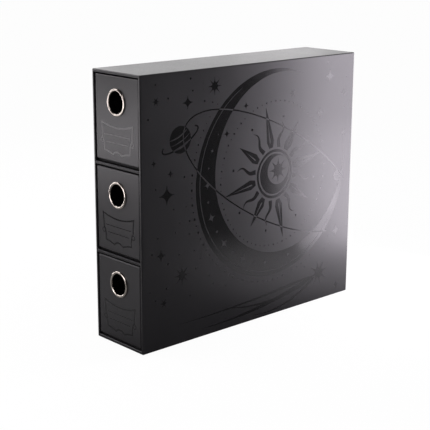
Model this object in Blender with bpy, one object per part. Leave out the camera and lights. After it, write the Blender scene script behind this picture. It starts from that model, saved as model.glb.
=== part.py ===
"""Drawer box for trading cards: a tall, narrow case of wrapped board that holds three trays.

The case stands on its base sheet, its open front looks along -Y, and its origin is the middle of
its footprint. Each drawer is a card tray with a thicker front panel, and its finger ring is an
eyelet that passes through both and is flared over a washer behind them. Lengths are in metres.
"""
import math

import bmesh
import bpy
from mathutils import Matrix, Vector

# Outer size of the case
case_width = 0.092
case_depth = 0.380
case_height = 0.345

# Finished walls of the case, with their cover paper
side_wall = 0.0030
top_wall = 0.0036
base_wall = 0.0042
back_wall = 0.0040
shelf_thickness = 0.0040

# Cover paper, its glue line and its folded edges
paper_thickness = 0.0003
glue_gap = 0.0003
fold_radius = 0.0010
turn_in = 0.008
sheet_proud = 0.0001
board_edge = 0.0004

# Drawers, from the lowest bay to the highest, and how far each stands to the right of centre
drawer_names = ("bottom", "middle", "top")
rest_shift_shares = (0.0, 0.15, 0.4)

# Front panel of a drawer and the gaps round it
panel_thickness = 0.0030
panel_recess = 0.0007
panel_edge = 0.0008
side_play = 0.0019
foot_gap = 0.0035
head_gap = 0.0018

# Card tray behind the front panel
tray_board = 0.0020
tray_floor = 0.0020
slide_gap = 0.0003
end_gap = 0.0003

# Finger ring and its washer
ring_outer_radius = 0.0170
ring_bore_radius = 0.0135
ring_metal = 0.0008
ring_rise = 0.0016
ring_drop = 0.0314
ring_fit = 0.0003
flare_width = 0.0010
washer_radius = 0.0165
washer_thickness = 0.0008

# Smoothness of round shapes, and how far every cut runs past the face it opens
ring_steps = 48
bead_steps = 8
fold_steps = 3
cut_overrun = 0.002
smooth_angle = math.radians(35)

# Planes that the pieces share
half_width = case_width / 2
half_depth = case_depth / 2
bay_half_width = half_width - side_wall
bay_back = half_depth - back_wall
bay_count = len(drawer_names)
bay_height = (case_height - base_wall - top_wall - (bay_count - 1) * shelf_thickness) / bay_count
bay_pitch = bay_height + shelf_thickness
skin = paper_thickness + glue_gap
panel_half_width = bay_half_width - side_play
panel_top = bay_height - head_gap
ring_height = panel_top - ring_drop
tray_front = panel_thickness + glue_gap
tray_end = bay_back - end_gap + half_depth - panel_recess
barrel_radius = ring_bore_radius + ring_metal
finger_hole_radius = barrel_radius + ring_fit


def clear_scene():
    """Take every object out of the file, so that the model starts from nothing."""
    for old in list(bpy.data.objects):
        bpy.data.objects.remove(old, do_unlink=True)


def finish(name, colour, roughness, metallic=0.0):
    """A plain material with the piece's own colour and shine."""
    material = bpy.data.materials.new(name)
    material.use_nodes = True
    shader = material.node_tree.nodes["Principled BSDF"]
    shader.inputs["Base Color"].default_value = (*colour, 1.0)
    shader.inputs["Roughness"].default_value = roughness
    shader.inputs["Metallic"].default_value = metallic
    return material


def add_object(name, mesh, material, parent):
    """Put a mesh in the scene under a name, with one material and its parent."""
    piece = bpy.data.objects.new(name, mesh)
    bpy.context.collection.objects.link(piece)
    if material is not None:
        mesh.materials.append(material)
    piece.parent = parent
    return piece


def block(name, low, high, material, parent=None, edge=0.0, steps=1):
    """A board between two corners, with its own origin in its middle and softened edges."""
    low, high = Vector(low), Vector(high)
    shape = bmesh.new()
    bmesh.ops.create_cube(shape, size=1.0)
    bmesh.ops.scale(shape, vec=high - low, verts=shape.verts)
    mesh = bpy.data.meshes.new(name)
    shape.to_mesh(mesh)
    shape.free()
    piece = add_object(name, mesh, material, parent)
    piece.location = (low + high) / 2
    if edge > 0:
        soften = piece.modifiers.new("soft edges", "BEVEL")
        soften.width = edge
        soften.segments = steps
    return piece


def cutter(piece):
    """Mark a shape as a tool that only cuts."""
    piece.display_type = "WIRE"
    piece.hide_render = True
    return piece


def cut(piece, tool):
    """Take a tool's shape out of a piece."""
    hole = piece.modifiers.new("cut by " + tool.name, "BOOLEAN")
    hole.operation = "DIFFERENCE"
    hole.solver = "EXACT"
    hole.object = tool


def round_cutter(name, radius, start, end, height, parent):
    """A cylinder along Y that bores a round hole at a height."""
    shape = bmesh.new()
    along_y = Matrix.Rotation(math.pi / 2, 3, "X")
    bmesh.ops.create_cone(shape, cap_ends=True, segments=ring_steps, radius1=radius, radius2=radius,
                          depth=end - start)
    bmesh.ops.rotate(shape, cent=(0, 0, 0), matrix=along_y, verts=shape.verts)
    mesh = bpy.data.meshes.new(name)
    shape.to_mesh(mesh)
    shape.free()
    tool = cutter(add_object(name, mesh, None, parent))
    tool.location = (0, (start + end) / 2, height)
    return tool


def turned(name, outline, height, material, parent):
    """A ring about a line along Y: the outline holds radius and depth pairs of a closed loop."""
    shape = bmesh.new()
    rings = []
    for step in range(ring_steps):
        angle = 2 * math.pi * step / ring_steps
        ring = [shape.verts.new((radius * math.cos(angle), depth, radius * math.sin(angle)))
                for radius, depth in outline]
        rings.append(ring)
    for step, ring in enumerate(rings):
        following = rings[(step + 1) % ring_steps]
        for index in range(len(outline)):
            after = (index + 1) % len(outline)
            shape.faces.new((ring[index], ring[after], following[after], following[index]))
    bmesh.ops.recalc_face_normals(shape, faces=shape.faces)
    mesh = bpy.data.meshes.new(name)
    shape.to_mesh(mesh)
    shape.free()
    mesh.shade_smooth()
    mesh.set_sharp_from_angle(angle=smooth_angle)
    piece = add_object(name, mesh, material, parent)
    piece.location = (0, 0, height)
    return piece


def make_cover_paper(material):
    """The paper folded round the case: closed on both sides and the top, and turned in elsewhere."""
    base = sheet_proud
    back = half_depth - sheet_proud
    cover = block("case_cover_paper", (-half_width, -half_depth, base), (half_width, back, case_height),
                  material, edge=fold_radius, steps=fold_steps)
    inner = half_width - paper_thickness
    inside = block("room for the boards", (-inner, -half_depth + paper_thickness, base + paper_thickness),
                   (inner, back - paper_thickness, case_height - paper_thickness), None,
                   edge=fold_radius - paper_thickness, steps=fold_steps)
    mouth = block("case mouth", (-bay_half_width, -half_depth - cut_overrun, base_wall),
                  (bay_half_width, -half_depth + paper_thickness + cut_overrun, case_height - top_wall), None)
    side = half_width - turn_in
    back_window = block("window in the back", (-side, back - paper_thickness - cut_overrun, turn_in),
                        (side, back + cut_overrun, case_height - turn_in), None)
    base_window = block("window in the base", (-side, -half_depth + turn_in, base - cut_overrun),
                        (side, half_depth - turn_in, base + paper_thickness + cut_overrun), None)
    for tool in (inside, mouth, back_window, base_window):
        cut(cover, cutter(tool))
    return cover


def make_end_sheets(material):
    """The flat sheets that lie between the turned-in edges, under the case and behind it."""
    side = half_width - turn_in - glue_gap
    reach = half_depth - turn_in - glue_gap
    block("case_base_sheet", (-side, -reach, 0), (side, reach, paper_thickness), material)
    block("case_back_sheet", (-side, half_depth - paper_thickness, turn_in + glue_gap),
          (side, half_depth, case_height - turn_in - glue_gap), material)


def make_case_boards(material):
    """The boards inside the cover paper: two sides, the top, the bottom and the back."""
    outer = half_width - skin
    front = -half_depth + skin
    back = half_depth - sheet_proud - skin
    low = sheet_proud + skin
    high = case_height - skin
    between = bay_half_width - glue_gap
    for side, name in ((-1, "case_left_board"), (1, "case_right_board")):
        edges = sorted((side * bay_half_width, side * outer))
        block(name, (edges[0], front, low), (edges[1], back, high), material, edge=board_edge)
    block("case_top_board", (-between, front, case_height - top_wall), (between, back, high),
          material, edge=board_edge)
    block("case_bottom_board", (-between, front, low), (between, back, base_wall),
          material, edge=board_edge)
    block("case_back_board", (-between, bay_back, base_wall + glue_gap),
          (between, back, case_height - top_wall - glue_gap), material, edge=board_edge)


def make_shelves(material):
    """The two shelves, whose wrapped front edges lie level with the front of the case."""
    between = bay_half_width - glue_gap
    for number, name in ((1, "lower_shelf"), (2, "upper_shelf")):
        top = base_wall + number * bay_pitch
        block(name, (-between, -half_depth, top - shelf_thickness), (between, bay_back - glue_gap, top),
              material, edge=board_edge, steps=2)


def make_front_panel(name, material, mount):
    """The thick board that closes the bay, with the finger hole through it."""
    panel = block(name + "_drawer_front_panel", (-panel_half_width, 0, foot_gap),
                  (panel_half_width, panel_thickness, panel_top), material, mount,
                  edge=panel_edge, steps=2)
    hole = round_cutter("finger hole in " + panel.name, finger_hole_radius, -cut_overrun,
                        panel_thickness + cut_overrun, ring_height, mount)
    cut(panel, hole)


def make_tray(name, material, mount):
    """The card tray: side boards the whole length, with the ends and the floor fitted between."""
    inner = panel_half_width - tray_board
    between = inner - glue_gap
    for side, label in ((-1, "left"), (1, "right")):
        edges = sorted((side * inner, side * panel_half_width))
        block(f"{name}_drawer_{label}_side", (edges[0], tray_front, slide_gap),
              (edges[1], tray_end, panel_top), material, mount, edge=board_edge)
    head = block(f"{name}_drawer_inner_front", (-between, tray_front, slide_gap),
                 (between, tray_front + tray_board, panel_top), material, mount, edge=board_edge)
    hole = round_cutter("finger hole in " + head.name, finger_hole_radius, tray_front - cut_overrun,
                        tray_front + tray_board + cut_overrun, ring_height, mount)
    cut(head, hole)
    block(f"{name}_drawer_back", (-between, tray_end - tray_board, slide_gap),
          (between, tray_end, panel_top), material, mount, edge=board_edge)
    block(f"{name}_drawer_floor", (-between, tray_front + tray_board + glue_gap, slide_gap),
          (between, tray_end - tray_board - glue_gap, slide_gap + tray_floor), material, mount)


def make_finger_ring(name, material, mount):
    """The eyelet: a rounded bead in front, a barrel through both boards and a flare behind."""
    seat = -ring_fit
    middle = (ring_outer_radius + ring_bore_radius) / 2
    half_bead = (ring_outer_radius - ring_bore_radius) / 2
    washer_start = tray_front + tray_board + ring_fit
    washer_end = washer_start + washer_thickness
    flare_start = washer_end + ring_fit
    flare_end = flare_start + ring_metal
    flare_radius = barrel_radius + flare_width
    outline = []
    for step in range(bead_steps + 1):
        angle = math.pi * step / bead_steps
        outline.append((middle + half_bead * math.cos(angle), seat - ring_rise * math.sin(angle)))
    outline += [(ring_bore_radius, flare_end), (flare_radius, flare_end), (flare_radius, flare_start),
                (barrel_radius, flare_start), (barrel_radius, seat)]
    turned(name + "_drawer_finger_ring", outline, ring_height, material, mount)
    washer = [(washer_radius, washer_start), (washer_radius, washer_end),
              (finger_hole_radius, washer_end), (finger_hole_radius, washer_start)]
    turned(name + "_drawer_ring_washer", washer, ring_height, material, mount)


def make_drawer(index, name, paper, lining, nickel):
    """One drawer on an empty that sits in the front plane of its panel and slides along -Y."""
    mount = bpy.data.objects.new(name + " drawer slide", None)
    bpy.context.collection.objects.link(mount)
    mount.location = (rest_shift_shares[index] * side_play, -half_depth + panel_recess,
                      base_wall + index * bay_pitch)
    make_front_panel(name, paper, mount)
    make_tray(name, lining, mount)
    make_finger_ring(name, nickel, mount)


def main():
    clear_scene()
    paper = finish("black printed cover paper", (0.030, 0.029, 0.031), 0.45)
    board = finish("dyed board", (0.045, 0.044, 0.046), 0.80)
    lining = finish("black lining paper", (0.022, 0.022, 0.023), 0.65)
    nickel = finish("polished nickel", (0.72, 0.69, 0.66), 0.18, 1.0)
    make_cover_paper(paper)
    make_end_sheets(paper)
    make_case_boards(board)
    make_shelves(paper)
    for index, name in enumerate(drawer_names):
        make_drawer(index, name, paper, lining, nickel)
    bpy.context.view_layer.update()


main()
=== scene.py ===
# %% [markdown]
# # A black drawer box for trading cards
# The box is a tall, narrow case of board wrapped in matte black paper, with three card trays in it.
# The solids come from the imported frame. This script dresses them: wrapped skins with soft folds,
# varnish figures that show only by their shine, and bright metal finger rings.

# %% Load the frame
import math
import random

import bmesh
import bpy
from mathutils import Matrix, Vector
from mathutils.geometry import delaunay_2d_cdt


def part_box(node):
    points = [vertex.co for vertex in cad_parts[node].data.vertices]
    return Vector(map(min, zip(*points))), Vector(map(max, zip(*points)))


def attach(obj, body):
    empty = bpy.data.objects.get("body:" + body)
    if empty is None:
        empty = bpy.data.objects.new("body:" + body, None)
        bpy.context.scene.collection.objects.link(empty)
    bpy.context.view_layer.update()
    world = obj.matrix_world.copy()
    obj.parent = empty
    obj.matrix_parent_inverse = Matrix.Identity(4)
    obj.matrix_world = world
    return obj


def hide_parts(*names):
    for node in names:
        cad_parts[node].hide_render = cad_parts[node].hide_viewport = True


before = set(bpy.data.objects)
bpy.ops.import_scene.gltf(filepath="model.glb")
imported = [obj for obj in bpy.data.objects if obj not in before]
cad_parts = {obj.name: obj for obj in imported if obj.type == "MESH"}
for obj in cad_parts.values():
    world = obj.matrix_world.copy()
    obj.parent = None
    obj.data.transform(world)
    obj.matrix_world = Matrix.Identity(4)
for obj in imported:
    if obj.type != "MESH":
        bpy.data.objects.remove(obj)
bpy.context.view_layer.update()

# %% [markdown]
# ## Sizes read from the frame
# A wrapped box is made of few sizes: walls, gaps and sheets. All that the solids have is measured
# from them, so the dressing follows the frame. Only what the solids leave out, such as the
# thickness of varnish, is written below.

# %% Measure the case and the drawers
DRAWERS = ("top", "middle", "bottom")
CASE_LOW, CASE_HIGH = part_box("case_cover_paper")
BAY_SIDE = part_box("case_right_board")[0].x
BAY_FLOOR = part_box("case_bottom_board")[1].z
BAY_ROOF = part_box("case_top_board")[0].z
shelf_tops = [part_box("upper_shelf")[1].z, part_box("lower_shelf")[1].z, BAY_FLOOR]
BAY_FLOORS = dict(zip(DRAWERS, shelf_tops))
print("case width, depth, height:", [round(value, 4) for value in CASE_HIGH - CASE_LOW])
print("bay floors at", {name: round(value, 4) for name, value in BAY_FLOORS.items()})

# %% [markdown]
# ## The camera
# The photograph looks at the near corner of the box from the right and from a little above, through
# a long lens. The place and the lens were worked out from the edges of the box in the picture. The
# matrix is built from the camera's own three directions, because a small roll is easy to add there.

# %% Place the camera
CAMERA_PLACE = Vector((1.03747, -0.98555, 0.51082))
CAMERA_AZIMUTH = math.radians(47.299)
CAMERA_ELEVATION = math.radians(14.642)
CAMERA_ROLL = math.radians(0.271)
CAMERA_LENS = 92.26
CAMERA_SENSOR = 36


def add_object(name, data):
    """A new object in the scene."""
    thing = bpy.data.objects.new(name, data)
    bpy.context.scene.collection.objects.link(thing)
    return thing


def make_camera():
    """A camera at the photograph's place, with its small roll about the line of sight."""
    back = Vector((math.sin(CAMERA_AZIMUTH) * math.cos(CAMERA_ELEVATION),
                   -math.cos(CAMERA_AZIMUTH) * math.cos(CAMERA_ELEVATION),
                   math.sin(CAMERA_ELEVATION)))
    level = Vector((0, 0, 1)).cross(back).normalized()
    upright = back.cross(level)
    right = math.cos(CAMERA_ROLL) * level + math.sin(CAMERA_ROLL) * upright
    data = bpy.data.cameras.new("camera")
    data.lens = CAMERA_LENS
    data.sensor_width = CAMERA_SENSOR
    data.clip_start = 0.01
    camera = add_object("camera", data)
    turn = Matrix((right, back.cross(right), back)).transposed()
    camera.matrix_world = Matrix.Translation(CAMERA_PLACE) @ turn.to_4x4()
    return camera


bpy.context.scene.camera = make_camera()
bpy.context.scene.view_settings.view_transform = "Standard"
print("camera distance:", round(CAMERA_PLACE.length, 3), "m")

# %% [markdown]
# ## Shader maths as sums
# A finish is easier to read as an expression than as a list of nodes. `Wire` holds one socket, and
# its operators add the Math node that does the sum, so `1 - mask * 0.5` makes two nodes. Every other
# node comes from `node`, which takes a type, then its settings, then what goes into its sockets.

# %% A small class for shader maths
class Wire:
    """One output socket in a node tree, with operators that add Math nodes."""

    def __init__(self, tree, socket):
        self.tree = tree
        self.socket = socket

    def maths(self, operation, *values):
        return node(self.tree, "ShaderNodeMath", {"operation": operation}, dict(enumerate(values)))

    def __add__(self, other):
        return self.maths("ADD", self, other)

    def __sub__(self, other):
        return self.maths("SUBTRACT", self, other)

    def __rsub__(self, other):
        return self.maths("SUBTRACT", other, self)

    def __mul__(self, other):
        return self.maths("MULTIPLY", self, other)

    __radd__ = __add__
    __rmul__ = __mul__


def node(tree, kind, settings=None, sockets=None, output=0):
    """Add a node: its settings come first, then a value or a wire for each named socket."""
    made = tree.nodes.new(kind)
    for key, value in (settings or {}).items():
        setattr(made, key, value)
    for key, value in (sockets or {}).items():
        if isinstance(value, Wire):
            tree.links.new(value.socket, made.inputs[key])
        else:
            made.inputs[key].default_value = value
    return Wire(tree, made.outputs[output])


def ramp(wire, low, high):
    """Nought below one value, one above the other, and smooth between."""
    return node(wire.tree, "ShaderNodeMapRange", {"interpolation_type": "SMOOTHSTEP"},
                {"Value": wire, "From Min": low, "From Max": high})


def noise(place, scale, detail=4.0, roughness=0.5):
    """Cloudy noise between nought and one."""
    return node(place.tree, "ShaderNodeTexNoise", None,
                {"Vector": place, "Scale": scale, "Detail": detail, "Roughness": roughness})


def stretched(place, factors):
    """The same place with each axis scaled, so that noise turns into fibres."""
    return node(place.tree, "ShaderNodeVectorMath", {"operation": "MULTIPLY"}, {0: place, 1: factors})


def blend(factor, first, second):
    """A colour between two colours."""
    return node(factor.tree, "ShaderNodeMix", {"data_type": "RGBA"},
                {0: factor, 6: (*first, 1), 7: (*second, 1)}, output=2)


def new_material(name, **constants):
    """A material, its shader and the place of the surface. Constants are set on the shader."""
    material = bpy.data.materials.new(name)
    material.use_nodes = True
    tree = material.node_tree
    shader = tree.nodes["Principled BSDF"]
    for key, value in constants.items():
        shader.inputs[key.replace("_", " ")].default_value = value
    place = node(tree, "ShaderNodeTexCoord", output=3)
    return material, shader, place


def feed(shader, **wires):
    """Link wires to the shader's sockets."""
    for key, wire in wires.items():
        wire.tree.links.new(wire.socket, shader.inputs[key.replace("_", " ")])


def bumped(height, distance, strength=1.0):
    """A normal that follows a height given as nought to one, for a relief of that many metres."""
    return node(height.tree, "ShaderNodeBump", None,
                {"Height": height, "Distance": distance, "Strength": strength})


print("shader helpers ready")

# %% [markdown]
# ## Finish: matte cover paper
# The box is wrapped in black paper with a soft matte film. The film isn't quite flat: it shows a fine
# grain of upright fibres and, over it, the faint waves of the board below. It rubs shiny and a little
# paler along the folded edges, so a box's own edges are measured here: on a surface one of the three
# distances to its planes is nought, and the second smallest is the distance to the nearest edge.

# %% Matte paper for one box of the object
PAPER_BLACK = (0.0074, 0.0070, 0.0080)
PAPER_RUBBED = (0.030, 0.029, 0.030)
PAPER_ROUGHNESS = 0.32
RUB_WIDTH = 0.0016


def edge_distance(place, low, high):
    """Metres from a surface point of a box to the nearest edge of that box."""
    parts = node(place.tree, "ShaderNodeSeparateXYZ", None, {0: place})
    gaps = []
    for axis in range(3):
        along = Wire(place.tree, parts.socket.node.outputs[axis])
        middle = (low[axis] + high[axis]) / 2
        half = (high[axis] - low[axis]) / 2
        gaps.append(half - (along - middle).maths("ABSOLUTE", along - middle))
    least = gaps[0].maths("MINIMUM", gaps[0].maths("MINIMUM", gaps[0], gaps[1]), gaps[2])
    most = gaps[0].maths("MAXIMUM", gaps[0].maths("MAXIMUM", gaps[0], gaps[1]), gaps[2])
    return gaps[0] + gaps[1] + gaps[2] - least - most


def matte_paper(name, low, high, seed, film=0.5):
    """Black paper with a matte film, rubbed along the edges of the box between two corners."""
    material, shader, place = new_material(name, Specular_IOR_Level=film)
    place = node(place.tree, "ShaderNodeVectorMath", {"operation": "ADD"},
                 {0: place, 1: (seed * 0.37, seed * 0.19, seed * 0.53)})
    here = node(place.tree, "ShaderNodeTexCoord", output=3)
    rub = 1 - ramp(edge_distance(here, low, high), 0.0, RUB_WIDTH)
    scuffs = ramp(noise(place, 260.0, 5.0, 0.65), 0.45, 0.75)
    worn = rub * (0.06 + 0.6 * scuffs)
    clouds = noise(place, 14.0, 3.0)
    fibres = noise(stretched(place, (1.0, 1.0, 0.16)), 1500.0, 3.0, 0.6)
    streaks = noise(stretched(place, (1.0, 1.0, 0.05)), 420.0, 3.0, 0.55)
    waves = noise(place, 420.0, 2.0, 0.45)
    shade = worn + (clouds - 0.5) * 0.16 + (fibres - 0.5) * 0.12 + (streaks - 0.5) * 0.10
    colour = blend(shade, PAPER_BLACK, PAPER_RUBBED)
    gloss = PAPER_ROUGHNESS + (clouds - 0.5) * 0.05 + (fibres - 0.5) * 0.10
    gloss = gloss + (streaks - 0.5) * 0.10 - worn * 0.06
    relief = bumped(fibres * 0.45 + waves * 0.55, 0.00004)
    feed(shader, Base_Color=colour, Roughness=gloss, Normal=relief)
    return material


case_paper = matte_paper("case cover paper", CASE_LOW, CASE_HIGH, 1)
shelf_paper = matte_paper("shelf paper", CASE_LOW, CASE_HIGH, 5, 0.28)
front_papers = {}
for number, name in enumerate(DRAWERS):
    low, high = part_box(name + "_drawer_front_panel")
    front_papers[name] = matte_paper(name + " front paper", low, high, number + 2)
print("matte papers:", 2 + len(front_papers))

# %% [markdown]
# ## Finish: spot varnish
# The figures on the side and the labels on the fronts are clear varnish over the same black paper.
# Varnish wets the fibres, so that they scatter less and look a deeper black, and its smooth skin
# mirrors the room. So the finish is nearly pure black with a low roughness and a soft orange peel.

# %% Clear varnish
VARNISH_BLACK = (0.0014, 0.0014, 0.0016)
VARNISH_THIN = (0.0030, 0.0029, 0.0033)
VARNISH_ROUGHNESS = 0.165


def clear_varnish():
    """Glossy varnish that lets the black paper show."""
    material, shader, place = new_material("spot varnish")
    peel = noise(place, 700.0, 2.0, 0.4)
    pull = noise(place, 90.0, 3.0, 0.5)
    tint = blend(pull, VARNISH_BLACK, VARNISH_THIN)
    shine = VARNISH_ROUGHNESS + (pull - 0.5) * 0.06 + (peel - 0.5) * 0.04
    feed(shader, Base_Color=tint, Roughness=shine, Normal=bumped(peel, 0.000012))
    return material


varnish = clear_varnish()
print("varnish roughness:", VARNISH_ROUGHNESS)

# %% [markdown]
# ## Finish: lining paper and dyed board
# The trays and the bays are lined with plain black paper, which is dry and fibrous, and it gets
# scuffed where the drawers slide. Board that is dyed through is coarser and greyer, with small clumps.

# %% Dry papers
def dry_paper(name, dark, pale, roughness, fibre, clump, gloss=0.3):
    """Uncoated paper or board: fibres lie along the drawer, with clumps and faint long scuffs."""
    material, shader, place = new_material(name, Specular_IOR_Level=gloss)
    fibres = noise(stretched(place, (1.0, 0.2, 1.0)), fibre, 4.0, 0.65)
    clumps = noise(place, clump, 3.0, 0.6)
    scuffs = ramp(noise(stretched(place, (1.0, 0.03, 1.0)), 330.0, 2.0), 0.62, 0.78)
    shade = fibres * 0.45 + clumps * 0.35 + scuffs * 0.3
    rough = roughness + (clumps - 0.5) * 0.12 - scuffs * 0.10
    relief = bumped(fibres * 0.6 + clumps * 0.4, 0.00007)
    feed(shader, Base_Color=blend(shade, dark, pale), Roughness=rough, Normal=relief)
    return material


lining = dry_paper("lining paper", (0.0075, 0.0075, 0.0080), (0.026, 0.0255, 0.026), 0.74, 1300.0, 160.0)
board = dry_paper("dyed board", (0.014, 0.0135, 0.0135), (0.050, 0.048, 0.046), 0.85, 900.0, 300.0)
print("dry papers: lining, board")

# %% [markdown]
# ## Finish: bright nickel
# A finger ring is a plated eyelet. Its barrel is spun, which leaves hair lines round the ring, and
# the bead in front is polished, with smudges from fingers. Fine lines come from noise stretched
# along the barrel, and smudges from clouds that only change the roughness.

# %% Plated metal
NICKEL = (0.52, 0.48, 0.43)
NICKEL_DULL = (0.38, 0.345, 0.305)


def bright_nickel():
    """Polished plating with hair lines and finger smudges."""
    material, shader, place = new_material("bright nickel", Metallic=1.0)
    smudge = ramp(noise(place, 210.0, 4.0, 0.6), 0.42, 0.72)
    lines = noise(stretched(place, (1.0, 14.0, 1.0)), 900.0, 2.0, 0.5)
    shine = 0.10 + smudge * 0.10 + (lines - 0.5) * 0.08
    feed(shader, Base_Color=blend(smudge * 0.6, NICKEL, NICKEL_DULL), Roughness=shine,
         Normal=bumped(lines, 0.000006))
    return material


nickel = bright_nickel()
print("nickel ready")

# %% [markdown]
# ## Making pieces
# Each piece is a plain mesh with its place in its vertices. Modifiers such as Solidify finish a
# shape, and `bake` then turns the result into a plain mesh. Weighted normals keep the large flat
# faces flat while the folds beside them look round.

# %% Helpers that make a piece
SHARP_ANGLE = math.radians(35)


def bake(piece):
    """Apply the live modifiers of a piece."""
    graph = bpy.context.evaluated_depsgraph_get()
    mesh = bpy.data.meshes.new_from_object(piece.evaluated_get(graph))
    old = piece.data
    piece.modifiers.clear()
    piece.data = mesh
    bpy.data.meshes.remove(old)


def add_piece(name, shape, material, thickness=0.0, smooth=True):
    """Put a bmesh in the scene as a piece. A thickness makes a sheet of it, on its inner side."""
    mesh = bpy.data.meshes.new(name)
    shape.to_mesh(mesh)
    shape.free()
    mesh.materials.append(material)
    piece = add_object(name, mesh)
    if thickness > 0:
        sheet = piece.modifiers.new("paper", "SOLIDIFY")
        sheet.thickness = thickness
        sheet.offset = -1.0
        sheet.use_even_offset = True
        bake(piece)
    if smooth:
        piece.data.shade_smooth()
        piece.data.set_sharp_from_angle(angle=SHARP_ANGLE)
        flats = piece.modifiers.new("flat faces", "WEIGHTED_NORMAL")
        flats.weight = 100
        flats.keep_sharp = True
        bake(piece)
    return piece


def corner_loop(low, high, radius, steps, extra=0.0):
    """A rectangle in a plane, whose corners are quarter circles. With extra, the lower side has
    two more points, that far in from its ends."""
    radius = max(radius, 0.00002)
    centres = ((high[0] - radius, high[1] - radius), (low[0] + radius, high[1] - radius),
               (low[0] + radius, low[1] + radius), (high[0] - radius, low[1] + radius))
    points = []
    for quarter, (across, up) in enumerate(centres):
        for step in range(steps + 1):
            angle = math.pi / 2 * (quarter + step / steps)
            points.append((across + radius * math.cos(angle), up + radius * math.sin(angle)))
        if quarter == 2 and extra > 0:
            points += [(low[0] + extra, low[1]), (high[0] - extra, low[1])]
    return points


def sweep(shape, loops):
    """Join loops of the same number of points into a tube, and return the rings of vertices."""
    rings = [[shape.verts.new(point) for point in loop] for loop in loops]
    for ring, following in zip(rings, rings[1:]):
        for index in range(len(ring)):
            after = (index + 1) % len(ring)
            shape.faces.new((ring[index], ring[after], following[after], following[index]))
    return rings


def bend(radius, steps, start, end):
    """Points of an arc about nought, as pairs, from one angle to another in quarter turns."""
    turns = [start + (end - start) * step / steps for step in range(steps + 1)]
    return [(radius * math.cos(turn * math.pi / 2), radius * math.sin(turn * math.pi / 2))
            for turn in turns]


def turn_outwards(shape, probe):
    """Point every face outwards, judged by a direction at the face that lies furthest that way."""
    bmesh.ops.recalc_face_normals(shape, faces=shape.faces)
    outermost = max(shape.faces, key=lambda face: face.calc_center_median().dot(probe))
    if outermost.normal.dot(probe) < 0:
        bmesh.ops.reverse_faces(shape, faces=shape.faces)


print("piece helpers ready")

# %% [markdown]
# ## The case's cover paper
# One sheet is folded round the case. It starts a little way inside the mouth, comes forward over the
# soft inner edge, crosses the front, folds over the outer edge, runs back along the walls and is
# turned in behind. That path is the same all the way round, so it is a list of loops, each one a
# rectangle set in from the outside by some depth. The sheet's own thickness comes from Solidify.

# %% Wrap the case
PAPER = 0.00015
GLUE = 0.00005
FOLD = 0.0016
MOUTH_FOLD = 0.0008
MOUTH_TURN = 0.015
END_TURN = 0.008
FOLD_STEPS = 7


def case_loop(depth, inset, sides, radius):
    """A loop round the case at one depth. Inset is from the outside, or from the bays if sides
    is true."""
    if sides:
        low = (-BAY_SIDE - inset, BAY_FLOOR - inset)
        high = (BAY_SIDE + inset, BAY_ROOF + inset)
    else:
        low = (CASE_LOW.x + inset, CASE_LOW.z + inset)
        high = (CASE_HIGH.x - inset, CASE_HIGH.z - inset)
    window = END_TURN - (low[0] - CASE_LOW.x)
    return [(across, depth, up)
            for across, up in corner_loop(low, high, radius, FOLD_STEPS, max(window, 0.001))]


def wrap_case():
    """The cover paper, with a window in the base that the base sheet closes."""
    front, back = CASE_LOW.y, CASE_HIGH.y
    proud = -PAPER - GLUE
    loops = [case_loop(front + MOUTH_TURN, proud, True, 0)]
    for inward, forward in bend(MOUTH_FOLD, FOLD_STEPS, 2, 1):
        loops.append(case_loop(front + MOUTH_FOLD - forward, proud + MOUTH_FOLD + inward, True, 0))
    for outward, forward in bend(FOLD, FOLD_STEPS, 1, 0):
        inset = FOLD - outward
        loops.append(case_loop(front + FOLD - forward, inset, False, FOLD - inset))
    loops.append(case_loop(front + END_TURN, 0, False, FOLD))
    loops.append(case_loop(back - END_TURN, 0, False, FOLD))
    for outward, backward in bend(FOLD, FOLD_STEPS, 0, 1):
        inset = FOLD - outward
        loops.append(case_loop(back - FOLD + backward, inset, False, FOLD - inset))
    loops.append(case_loop(back, END_TURN - 0.0002, False, 0))
    shape = bmesh.new()
    sweep(shape, loops)
    window = [face for face in shape.faces
              if face.calc_center_median().z < CASE_LOW.z + GLUE
              and abs(face.calc_center_median().x) < CASE_HIGH.x - END_TURN
              and abs(face.calc_center_median().y) < back - END_TURN]
    bmesh.ops.delete(shape, geom=window, context="FACES")
    turn_outwards(shape, Vector((1, 0, 0)))
    return add_piece("case_cover_wrap", shape, case_paper, PAPER)


case_wrap = wrap_case()
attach(case_wrap, "case")
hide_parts("case_cover_paper")
print("case wrap:", len(case_wrap.data.polygons), "faces")

# %% [markdown]
# ## Wrapped shelves
# Each shelf is a board with its own strip of paper, folded round the front edge and glued down above
# and below. The strip ends a little way in, where the bare dyed board goes on. The strip and the
# board are two pieces, so that the end of the paper is a real step.

# %% Wrap the shelves
SHELF_STRIP = 0.032
SHELF_FOLD = 0.0012
BOARD_EDGE = 0.0004


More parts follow.
